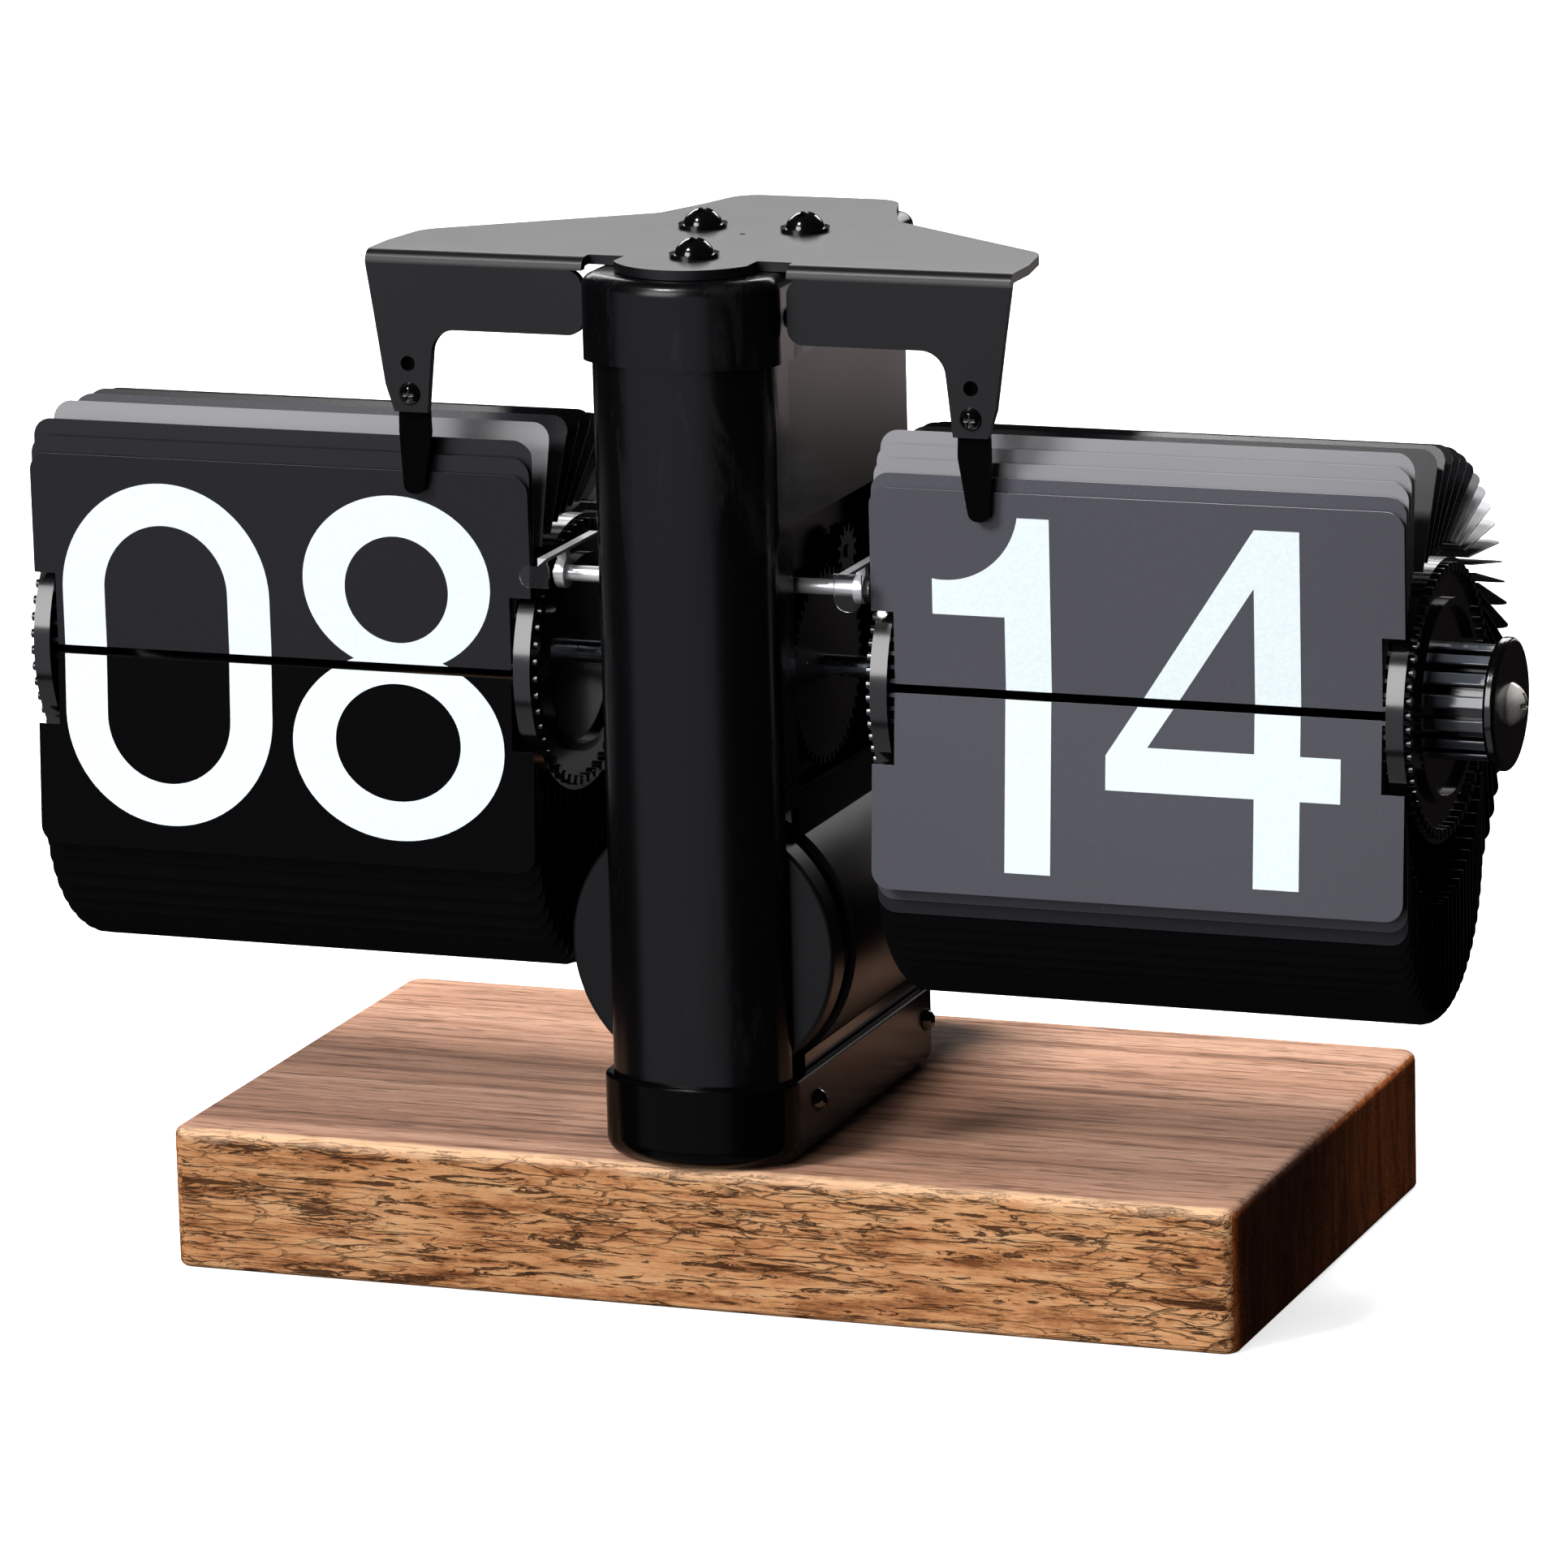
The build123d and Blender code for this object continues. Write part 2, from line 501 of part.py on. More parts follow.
half_step = 180 / PINION_TEETH
save("minute_drive_gear", gear(DRIVE_TEETH, DRIVE_MODULE, 9.0, 10.5, AXIS_Y, AXIS_Z, SHAFT_R, PINION_ANGLE))
save("motor_pinion", [gear(PINION_TEETH, DRIVE_MODULE, 8.8, 10.7, PINION_Y, PINION_Z, 0.8,
                           PINION_ANGLE + 180 + half_step),
                      rod_x(0.8, 5.3, 11.0, PINION_Y, PINION_Z)])
save("minute_step_pinion", gear(STEP_TEETH, STEP_MODULE, 3.0, 5.0, AXIS_Y, AXIS_Z, SHAFT_R, 0.0))
save("reduction_wheel", gear(WHEEL_TEETH, STEP_MODULE, 3.2, 4.8, ARBOR_Y, AXIS_Z, 0.8,
                             180 + 180 / WHEEL_TEETH))
save("reduction_pinion", gear(SMALL_TEETH, HOUR_MODULE, -10.7, -8.8, ARBOR_Y, AXIS_Z, 0.8,
                              180 + 180 / SMALL_TEETH))
save("reduction_arbor", rod_x(0.8, -11.0, 8.4, ARBOR_Y, AXIS_Z))
save("hour_drive_gear", gear(HOUR_TEETH, HOUR_MODULE, -10.5, -9.0, AXIS_Y, AXIS_Z, SHAFT_R, 0.0))

# side plates that carry the shafts, with a bush at every bearing
PLATE_IN, PLATE_OUT = 6.9, 7.9
PLATE_LOW, PLATE_HIGH = 64.4, 97.0
BUSH_R = 2.3


def works_plate(side):
    lo, hi = sorted((side * PLATE_IN, side * PLATE_OUT))
    panel = box(lo, hi, -28.0, SHELL_REAR - WALL, PLATE_LOW, PLATE_HIGH)
    panel = fillet(panel.edges().filter_by(Axis.X), 1.2)
    panel -= rod_x(BUSH_R, lo - 1, hi + 1, AXIS_Y, AXIS_Z)
    panel -= rod_x(0.8 + 0.7, lo - 1, hi + 1, ARBOR_Y, AXIS_Z)
    panel -= rod_x(ROD_R, lo - 1, hi + 1, ROD_Y, ROD_Z)
    if side > 0:
        panel -= rod_x(1.6, lo - 1, hi + 1, PINION_Y, PINION_Z)
    return panel


save("right_works_plate", works_plate(1))
save("left_works_plate", works_plate(-1))
bushes = []
for side in (1, -1):
    lo, hi = sorted((side * (PLATE_IN - 0.6), side * (PLATE_OUT + 0.6)))
    bushes.append(tube_x(BUSH_R, SHAFT_R + 0.03, lo, hi, AXIS_Y, AXIS_Z)
                  & rod_x(10, lo, hi, AXIS_Y, AXIS_Z))
    lo, hi = sorted((side * (PLATE_IN - 0.3), side * (PLATE_OUT + 0.3)))
    bushes.append(tube_x(1.5, 0.83, lo, hi, ARBOR_Y, AXIS_Z) & rod_x(10, lo, hi, ARBOR_Y, AXIS_Z))
save("bearing_bushes", bushes)
PILLARS = [(-23.0, 68.0), (8.5, 93.0), (8.5, 68.0)]
save("works_pillars", [rod_x(1.3, -PLATE_IN, PLATE_IN, y, z) for y, z in PILLARS])

motor = box(-5.5, 5.2, -12.5, 8.5, 98.6, 117.5)
motor = fillet(motor.edges().filter_by(Axis.X), 1.5)
motor_foot = box(2.6, 5.2, -12.0, 0.0, 88.3, 98.6)
motor_shelf = box(-SHELL_HALF + WALL, SHELL_HALF - WALL, -12.5, SHELL_REAR - WALL, 117.5, 118.7)
save("movement_case", motor + motor_foot + motor_shelf)

# --- cross rod with clear leaf catches ---------------------------------------
ROD_END = 20.9
save("cross_rod", rod_x(ROD_R, -ROD_END, ROD_END, ROD_Y, ROD_Z))
ARM_X0, ARM_X1 = 19.2, 20.4
LEAF_T = 0.4


LEAF_Y, LEAF_Z = -33.0, 93.1


def leaf_catch(tab):
    """Clear leaf: collar on the rod, arm running to the rear, and the given tab in front."""
    leaf = tube_x(1.9, ROD_R + 0.03, ARM_X0, ARM_X1, ROD_Y, ROD_Z) & rod_x(9, ARM_X0, ARM_X1, ROD_Y, ROD_Z)
    leaf += box(ARM_X0, ARM_X1, ROD_Y - 0.6, ROD_Y + 0.6, ROD_Z + 1.3, 93.4)
    leaf += box(ARM_X0, ARM_X1, LEAF_Y, -15.6, LEAF_Z, LEAF_Z + LEAF_T)
    return leaf + tab


drop_tab = box(18.6, 22.2, LEAF_Y, LEAF_Y + LEAF_T, 88.8, LEAF_Z + LEAF_T)
drop_tab = fillet(drop_tab.edges().filter_by(Axis.Y).group_by(Axis.Z)[0], 1.7)
side_tab = box(19.0, 22.9, LEAF_Y, LEAF_Y + LEAF_T, 89.7, 92.5)
side_tab = fillet(side_tab.edges().filter_by(Axis.Y).group_by(Axis.X)[-1], 1.3)
side_tab += box(ARM_X0, ARM_X1, LEAF_Y, LEAF_Y + LEAF_T, 91.0, LEAF_Z + LEAF_T)
save("minute_catch", leaf_catch(drop_tab))
save("hour_catch", mirror_x(leaf_catch(side_tab)))

# --- battery holder ----------------------------------------------------------
save("battery_tube", tube_y(TUBE_OUT, TUBE_IN, TUBE_FRONT, TUBE_REAR, 0, CELL_Z)
     & rod_y(40, TUBE_FRONT, TUBE_REAR, 0, CELL_Z))
front_disc = rod_y(17.4, -33.0, -29.0, 0, CELL_Z)
front_disc = fillet(front_disc.edges().group_by(Axis.Y)[0], 0.6)
front_disc += rod_y(16.2, -29.0, TUBE_FRONT, 0, CELL_Z)
save("battery_front_disc", front_disc)
save("front_contact", rod_y(4.0, TUBE_FRONT, TUBE_FRONT + 0.8, 0, CELL_Z))
CELL_Y0 = TUBE_FRONT + 2.2
cell = rod_y(CELL_R, CELL_Y0, CELL_Y0 + 56.5, 0, CELL_Z)
cell = fillet(cell.edges(), 1.2)
cell += rod_y(4.6, CELL_Y0 - 1.4, CELL_Y0, 0, CELL_Z)
save("battery_cell", cell)
battery_cap = rod_y(TUBE_OUT + 0.9, TUBE_REAR, TUBE_REAR + 2.2, 0, CELL_Z)
battery_cap = fillet(battery_cap.edges().group_by(Axis.Y)[-1], 0.8)
battery_cap += tube_y(TUBE_IN - 0.1, TUBE_IN - 1.1, TUBE_REAR - 1.6, TUBE_REAR, 0, CELL_Z) & rod_y(
    40, TUBE_REAR - 1.6, TUBE_REAR, 0, CELL_Z)
battery_cap -= box(-7.0, 7.0, TUBE_REAR + 1.4, TUBE_REAR + 3, CELL_Z - 1.0, CELL_Z + 1.0)
save("battery_cap", battery_cap)
coil_end = CELL_Y0 + 56.5
coil = Helix(pitch=(TUBE_REAR - coil_end - 0.7) / 2.5, height=TUBE_REAR - coil_end - 0.7, radius=6.0)
with BuildPart() as spring:
    with BuildLine():
        add(coil)
    with BuildSketch(Plane(coil @ 0, z_dir=coil % 0)):
        Circle(0.3)
    sweep()
save("cap_spring", Pos(0, coil_end + 0.35, CELL_Z) * Rot(-90, 0, 0) * spring.part)

whole = Compound(children=list(made.values()))
size = whole.bounding_box()
print("nodes", len(made), "size", size.size, "min", size.min, "max", size.max)
print("arbor y", ARBOR_Y, "pinion", PINION_Y, PINION_Z, "coil end", coil_end)
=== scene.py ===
import bpy
import math
from mathutils import Matrix, Vector


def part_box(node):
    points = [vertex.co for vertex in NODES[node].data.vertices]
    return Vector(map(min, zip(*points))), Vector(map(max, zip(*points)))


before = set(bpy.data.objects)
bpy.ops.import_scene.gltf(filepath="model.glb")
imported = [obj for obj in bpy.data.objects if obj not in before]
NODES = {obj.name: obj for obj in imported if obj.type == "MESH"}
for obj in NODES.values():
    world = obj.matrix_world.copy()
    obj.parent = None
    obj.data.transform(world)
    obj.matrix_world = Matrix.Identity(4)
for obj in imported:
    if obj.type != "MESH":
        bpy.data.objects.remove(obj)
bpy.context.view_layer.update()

scene = bpy.context.scene


def away_from_object(azimuth, elevation):
    """Unit vector leaving the object: azimuth in radians from the front toward +X, elevation above the floor."""
    return Vector((math.sin(azimuth) * math.cos(elevation), -math.cos(azimuth) * math.cos(elevation),
                   math.sin(elevation)))


# --- camera -------------------------------------------------------------------
# Fitted to the corners of the base, cards, bracket and column in the photograph.
AZIMUTH, ELEVATION, ROLL = math.radians(20.97), math.radians(13.38), math.radians(-1.5)
DISTANCE = 1.1003
LOOK_AT = Vector((-0.00119, 0.0, 0.05833))
LENS_MM, SENSOR_MM = 198.5, 36.0
CLIP_NEAR, CLIP_FAR = 0.01, 50.0
UPWARD = Vector((0, 0, 1))


def make_camera():
    back = away_from_object(AZIMUTH, ELEVATION)
    right = (-back).cross(UPWARD).normalized()
    up = right.cross(-back)
    rolled_right = right * math.cos(ROLL) + up * math.sin(ROLL)
    rolled_up = up * math.cos(ROLL) - right * math.sin(ROLL)
    data = bpy.data.cameras.new("camera")
    data.sensor_width, data.lens = SENSOR_MM, LENS_MM
    data.clip_start, data.clip_end = CLIP_NEAR, CLIP_FAR
    camera = bpy.data.objects.new("camera", data)
    scene.collection.objects.link(camera)
    turn = Matrix((rolled_right, rolled_up, back)).transposed()
    camera.matrix_world = Matrix.Translation(LOOK_AT + back * DISTANCE) @ turn.to_4x4()
    scene.camera = camera


make_camera()


# --- light --------------------------------------------------------------------
AIM = Vector((0.0, 0.0, 0.08))
WARM_PANEL, COOL_PANEL = (1.0, 0.88, 0.86), (0.96, 0.94, 1.06)


def area_light(name, azimuth, elevation, distance, size, radiance, tint=(1, 1, 1), diffuse=True, glossy=True):
    """A rectangular panel facing the object, which sees it at the given angles in degrees."""
    away = away_from_object(math.radians(azimuth), math.radians(elevation))
    data = bpy.data.lights.new(name, "AREA")
    data.shape = "RECTANGLE"
    data.size, data.size_y = size
    data.energy = radiance * math.pi * size[0] * size[1]
    data.color = tint
    light = bpy.data.objects.new(name, data)
    scene.collection.objects.link(light)
    light.location = AIM + away * distance
    light.rotation_mode = "QUATERNION"
    light.rotation_quaternion = (-away).to_track_quat("-Z", "Y")
    light.visible_diffuse = diffuse
    light.visible_glossy = glossy
    light.visible_camera = False
    light.visible_transmission = False


# Panels that light the matt surfaces.
area_light("key_soft", -36, 38, 1.50, (0.45, 0.45), 38.0, glossy=False)
area_light("fill_soft", -7, 15, 1.30, (0.60, 0.60), 6.0, glossy=False)
area_light("top_soft", 200, 80, 1.40, (0.90, 0.70), 19.0, glossy=False)
# Panels that the glossy surfaces mirror: the table in front, the soft box above it, the rear and the right.
area_light("table_glow", -22, -10, 1.20, (1.90, 0.80), 0.40, COOL_PANEL, diffuse=False)
area_light("floor_glow", -20, -55, 1.00, (1.20, 0.80), 0.25, diffuse=False)
area_light("box_glow", -22, 22, 1.40, (0.62, 0.76), 5.0, diffuse=False)
area_light("glint", -30, 52, 1.40, (0.16, 0.16), 90.0, diffuse=False)
area_light("rear_glow", 197, 27, 1.45, (1.90, 0.55), 3.3, diffuse=False)
area_light("side_glow", 158, -1, 0.41, (0.15, 0.085), 0.95, WARM_PANEL, diffuse=False)

ROOM_COLOUR, ROOM_STRENGTH = (0.30, 0.26, 0.25, 1), 0.04
SKY_STRENGTH = 1.0


def make_world():
    """White behind the object, a dim warm room for everything that the object reflects."""
    world = bpy.data.worlds.new("studio")
    world.use_nodes = True
    tree = world.node_tree
    room = tree.nodes["Background"]
    room.inputs["Color"].default_value = ROOM_COLOUR
    room.inputs["Strength"].default_value = ROOM_STRENGTH
    sky = tree.nodes.new("ShaderNodeBackground")
    sky.inputs["Strength"].default_value = SKY_STRENGTH
    seen = tree.nodes.new("ShaderNodeLightPath")
    mixer = tree.nodes.new("ShaderNodeMixShader")
    tree.links.new(seen.outputs["Is Camera Ray"], mixer.inputs[0])
    tree.links.new(room.outputs[0], mixer.inputs[1])
    tree.links.new(sky.outputs[0], mixer.inputs[2])
    tree.links.new(mixer.outputs[0], tree.nodes["World Output"].inputs[0])
    return world


scene.world = make_world()
scene.view_settings.view_transform = "Standard"
scene.view_settings.look = "None"


# --- node helpers -------------------------------------------------------------
class Shader:
    """A Principled material and short calls for the nodes that feed it."""

    def __init__(self, name, base=(0.5, 0.5, 0.5), rough=0.5, metal=0.0, **fixed):
        self.material = bpy.data.materials.new(name)
        self.material.use_nodes = True
        self.tree = self.material.node_tree
        self.bsdf = self.tree.nodes["Principled BSDF"]
        self.bsdf.inputs["Base Color"].default_value = (*base, 1)
        self.bsdf.inputs["Roughness"].default_value = rough
        self.bsdf.inputs["Metallic"].default_value = metal
        for key, value in fixed.items():
            self.bsdf.inputs[key.replace("_", " ")].default_value = value
        self.place = self.node("ShaderNodeTexCoord").outputs["Object"]

    def node(self, kind, **settings):
        made = self.tree.nodes.new(kind)
        for key, value in settings.items():
            setattr(made, key, value)
        return made

    def join(self, source, target):
        self.tree.links.new(source, target)

    def scaled(self, scale, offset=(0, 0, 0)):
        """Object coordinates in metres, multiplied and moved: the larger the scale, the finer the pattern."""
        mapping = self.node("ShaderNodeMapping")
        mapping.inputs["Scale"].default_value = scale
        mapping.inputs["Location"].default_value = offset
        self.join(self.place, mapping.inputs["Vector"])
        return mapping.outputs["Vector"]

    def noise(self, vector, scale=1.0, detail=3.0, rough=0.5, warp=0.0):
        """Cloudy value around 0.5."""
        made = self.node("ShaderNodeTexNoise")
        made.inputs["Scale"].default_value = scale
        made.inputs["Detail"].default_value = detail
        made.inputs["Roughness"].default_value = rough
        made.inputs["Distortion"].default_value = warp
        self.join(vector, made.inputs["Vector"])
        return made.outputs["Fac"]

    def voronoi(self, vector, scale=1.0, feature="F1"):
        made = self.node("ShaderNodeTexVoronoi", feature=feature)
        made.inputs["Scale"].default_value = scale
        self.join(vector, made.inputs["Vector"])
        return made.outputs["Distance"]

    def math(self, operation, a, b=0.0, c=0.0, clamp=False):
        """One Math node; each operand is a number or a socket."""
        made = self.node("ShaderNodeMath", operation=operation, use_clamp=clamp)
        for socket, value in zip(made.inputs, (a, b, c)):
            if isinstance(value, (int, float)):
                socket.default_value = value
            else:
                self.join(value, socket)
        return made.outputs[0]

    def ramp(self, fac, *stops):
        """Colour ramp through (position, colour or grey level) stops."""
        made = self.node("ShaderNodeValToRGB")
        elements = made.color_ramp.elements
        while len(elements) < len(stops):
            elements.new(0.5)
        for element, (at, colour) in zip(elements, stops):
            element.position = at
            element.color = (*colour, 1) if not isinstance(colour, (int, float)) else (colour,) * 3 + (1,)
        self.join(fac, made.inputs["Fac"])
        return made.outputs["Color"]

    def mix(self, fac, a, b):
        """Colour a turning into colour b as fac goes from 0 to 1; each is a colour or a socket."""
        made = self.node("ShaderNodeMix", data_type="RGBA")
        for socket, value in ((made.inputs[0], fac), (made.inputs[6], a), (made.inputs[7], b)):
            if isinstance(value, (int, float)):
                socket.default_value = value
            elif isinstance(value, tuple):
                socket.default_value = (*value, 1)
            else:
                self.join(value, socket)
        return made.outputs[2]

    def axis(self, which, source=None):
        """X, Y or Z (0, 1 or 2) of a vector, by default of the object coordinates."""
        split = self.node("ShaderNodeSeparateXYZ")
        self.join(source or self.place, split.inputs[0])
        return split.outputs[which]

    def bump(self, height, strength, distance):
        made = self.node("ShaderNodeBump")
        made.inputs["Strength"].default_value = strength
        made.inputs["Distance"].default_value = distance
        self.join(height, made.inputs["Height"])
        return made.outputs["Normal"]

    def use(self, **sockets):
        """Feed the named Principled sockets and hand back the finished material."""
        for key, value in sockets.items():
            self.join(value, self.bsdf.inputs[key.replace("_", " ")])
        return self.material


# --- materials ----------------------------------------------------------------
X, Y, Z = 0, 1, 2
BASE_LOW, BASE_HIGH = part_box("wood_base")
BASE_ARRIS = BASE_HIGH[Z] - BASE_LOW[Y]      # z - y along the long front top edge
KNOB_LOW, KNOB_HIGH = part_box("setting_knob")
KNOB_AXIS = [(KNOB_LOW[k] + KNOB_HIGH[k]) / 2 for k in (Y, Z)]
KNOB_CREST = 0.0068                          # radius at which the rib tops begin
KNOB_SLEEVE_END = KNOB_HIGH[X] - 0.0016      # where the end disc begins

WOOD_DARK_LINE = (0.100, 0.040, 0.022)
WOOD_FIBRE = (0.55, 0.33, 0.23)
WOOD_SHADE = (0.100, 0.036, 0.012)
WOOD_PORE = (0.060, 0.024, 0.012)
WOOD_SPLIT = (0.050, 0.018, 0.008)
WOOD_WORN = (0.82, 0.52, 0.32)
DUST_GREY = (0.42, 0.42, 0.43)
ENAMEL_LOW, ENAMEL_HIGH = (0.0008, 0.0008, 0.0010), (0.0016, 0.0015, 0.0020)
# The second knob colour is the painted highlight on the rib tops.
KNOB_BLACK, KNOB_RIB_SHEEN = (0.001, 0.001, 0.0012), (0.085, 0.095, 0.115)
CHROME, NICKEL_SCREW, NICKEL = (0.92, 0.92, 0.94), (0.97, 0.94, 0.88), (0.80, 0.79, 0.76)
STEEL, ZINC, BRASS = (0.45, 0.52, 0.60), (0.55, 0.55, 0.57), (0.72, 0.52, 0.22)
DARK_LEAF = 0.1                              # leaf levels under this one take the stronger blue cast
BLUE_IN_DARK, BLUE_IN_PALE = 1.22, 1.06


def walnut():
    """Oiled walnut: streaked top and back, sawn and cracked front, dark reddish ends."""
    s = Shader("walnut", rough=0.62, Specular_IOR_Level=0.06)
    facing = s.node("ShaderNodeTexCoord").outputs["Normal"]
    front = s.math("GREATER_THAN", s.math("MULTIPLY", s.axis(Y, facing), -1.0), 0.6)
    ends = s.math("GREATER_THAN", s.math("ABSOLUTE", s.axis(X, facing)), 0.75)

    # Long dark and light stripes with fine fibre over them.
    bands = s.noise(s.scaled((5, 90, 90)), 1.0, 3.0, 0.55, 0.6)
    streak = s.noise(s.scaled((13, 480, 480), (2, 0, 1)), 1.0, 6.0, 0.7, 0.4)
    fibre = s.noise(s.scaled((60, 2400, 2400)), 1.0, 4.0, 0.7)
    tone = s.math("ADD", s.math("MULTIPLY", bands, 0.40), s.math("MULTIPLY", streak, 0.60))
    top = s.ramp(tone, (0.38, (0.130, 0.055, 0.032)), (0.45, (0.320, 0.155, 0.095)),
                 (0.50, (0.470, 0.245, 0.158)), (0.60, (0.600, 0.350, 0.240)))
    lines = s.ramp(s.noise(s.scaled((10, 300, 300), (7, 3, 1)), 1.0, 6.0, 0.72, 0.3),
                   (0.36, 1.0), (0.41, 0.0))
    top = s.mix(s.math("MULTIPLY", lines, 0.75), top, WOOD_DARK_LINE)
    top = s.mix(s.math("MULTIPLY", fibre, 0.30), top, WOOD_FIBRE)

    # The sawn front: orange ground, darker to the left, with short brown dashes and a net of dark cracks.
    blotch = s.noise(s.scaled((85, 400, 400), (4, 4, 0)), 1.0, 6.0, 0.74)
    face = s.ramp(s.math("MULTIPLY_ADD", blotch, 0.62, s.math("MULTIPLY", streak, 0.38)),
                  (0.38, (0.180, 0.062, 0.022)), (0.44, (0.420, 0.175, 0.070)),
                  (0.50, (0.660, 0.315, 0.138)), (0.60, (0.780, 0.440, 0.220)))
    shade = s.math("MULTIPLY_ADD", s.axis(X), -1.6, 0.13, clamp=True)
    face = s.mix(shade, face, WOOD_SHADE)
    cell = s.scaled((130, 620, 900))
    wander = s.node("ShaderNodeTexNoise")
    wander.inputs["Scale"].default_value = 1.6
    s.join(cell, wander.inputs["Vector"])
    sway = s.node("ShaderNodeMix", data_type="VECTOR")
    sway.inputs[0].default_value = 0.35
    s.join(cell, sway.inputs[4])
    s.join(wander.outputs["Color"], sway.inputs[5])
    net = s.ramp(s.voronoi(sway.outputs[1], 1.5, "DISTANCE_TO_EDGE"), (0.02, 1.0), (0.05, 0.0))
    patchy = s.ramp(s.noise(s.scaled((40, 130, 130), (8, 8, 2)), 1.0, 3.0), (0.46, 0.0), (0.60, 0.7))
    dashes = s.ramp(s.noise(s.scaled((110, 950, 950), (1, 5, 2)), 1.0, 5.0, 0.78, 1.1), (0.41, 1.0), (0.45, 0.0))
    splits = s.math("MAXIMUM", dashes, s.math("MULTIPLY", net, patchy))
    splits = s.math("MULTIPLY", splits, s.math("MULTIPLY_ADD", front, 0.80, 0.12))

    # End grain, then open pores and the splits over all faces.
    end = s.ramp(s.noise(s.scaled((300, 300, 60)), 1.0, 5.0, 0.6, 0.8),
                 (0.35, (0.280, 0.062, 0.014)), (0.65, (0.700, 0.200, 0.055)))
    colour = s.mix(front, top, face)
    colour = s.mix(ends, colour, end)
    pores = s.ramp(s.noise(s.scaled((110, 1500, 1500), (3, 1, 7)), 1.0, 2.0, 0.5), (0.61, 0.0), (0.66, 1.0))
    colour = s.mix(s.math("MULTIPLY", pores, 0.45), colour, WOOD_PORE)
    colour = s.mix(splits, colour, WOOD_SPLIT)

    # The long front arris is rubbed pale.
    edge = s.math("SUBTRACT", s.axis(Z), s.axis(Y))
    ragged = s.math("MULTIPLY_ADD", s.noise(s.scaled((180, 500, 500)), 1.0, 4.0, 0.7), 0.0022, -0.0011)
    wear_and_sheen = s.math("MULTIPLY_ADD", s.math("ADD", edge, ragged), 1200.0, -1200.0 * (BASE_ARRIS - 0.0016), clamp=True)
    colour = s.mix(s.math("MULTIPLY", wear_and_sheen, 0.75), colour, WOOD_WORN)
    height = s.math("SUBTRACT", s.math("MULTIPLY", fibre, 0.5), s.math("ADD", pores, s.math("MULTIPLY", splits, 2.0)))
    rough = s.math("MULTIPLY_ADD", streak, 0.25, 0.42)
    return s.use(Base_Color=colour, Roughness=rough, Normal=s.bump(height, 0.8, 0.0003))


def dust(s, colour, density=160.0, size=0.03, strength=0.5):
    """Fine pale dust on a dark finish."""
    specks = s.ramp(s.voronoi(s.scaled((density,) * 3)), (size * 0.7, 1.0), (size, 0.0))
    sparse = s.ramp(s.noise(s.scaled((55, 55, 55), (9, 2, 4)), 1.0, 2.0), (0.56, 0.0), (0.62, strength))
    return s.mix(s.math("MULTIPLY", specks, sparse), colour, DUST_GREY)


def black_gloss(name, rough, level, specular, coat=0.0):
    """Smooth black with handling smears in its gloss."""
    s = Shader(name, rough=rough, Specular_IOR_Level=specular, Coat_Weight=coat, Coat_Roughness=0.1)
    smear = s.noise(s.scaled((60, 60, 25)), 1.0, 4.0, 0.6)
    peel = s.noise(s.scaled((700, 700, 700)), 1.0, 2.0)
    colour = s.ramp(smear, (0.3, (level * 0.8,) * 3), (0.7, (level * 1.3, level * 1.3, level * 1.45)))
    roughness = s.math("MULTIPLY_ADD", smear, 0.14, rough - 0.06)
    return s.use(Base_Color=dust(s, colour), Roughness=roughness, Normal=s.bump(peel, 0.05, 0.00004))


def column_enamel():
    """Gloss black enamel with faint upright smears and a few specks."""
    s = Shader("column_enamel", rough=0.24, Specular_IOR_Level=0.45)
    smear = s.ramp(s.noise(s.scaled((170, 170, 38), (3, 1, 6)), 1.0, 5.0, 0.68, 0.7), (0.53, 0.0), (0.62, 1.0))
    patch = s.ramp(s.noise(s.scaled((45, 45, 22), (6, 2, 9)), 1.0, 2.0), (0.48, 0.0), (0.58, 1.0))
    peel = s.noise(s.scaled((500, 500, 500)), 1.0, 2.0)
    roughness = s.math("MULTIPLY_ADD", s.math("MULTIPLY", smear, patch), 0.22, 0.23)
    colour = dust(s, s.mix(peel, ENAMEL_LOW, ENAMEL_HIGH), 140.0, 0.028, 0.8)
    return s.use(Base_Color=colour, Roughness=roughness, Normal=s.bump(peel, 0.04, 0.00003))


def black_satin(name, level, rough, grain=2600, depth=0.10, specular=0.5):
    """Fine-grained black coat, dull enough to blur what it mirrors."""
    s = Shader(name, rough=rough, Specular_IOR_Level=specular)
    grit = s.noise(s.scaled((grain,) * 3), 1.0, 3.0, 0.6)
    cloud = s.noise(s.scaled((30, 30, 30)), 1.0, 3.0)
    colour = s.ramp(grit, (0.35, (level * 0.85, level * 0.85, level * 1.05)),
                    (0.7, (level * 1.15, level * 1.15, level * 1.4)))
    roughness = s.math("MULTIPLY_ADD", cloud, 0.16, rough - 0.08)
    return s.use(Base_Color=dust(s, colour), Roughness=roughness, Normal=s.bump(grit, depth, 0.00004))


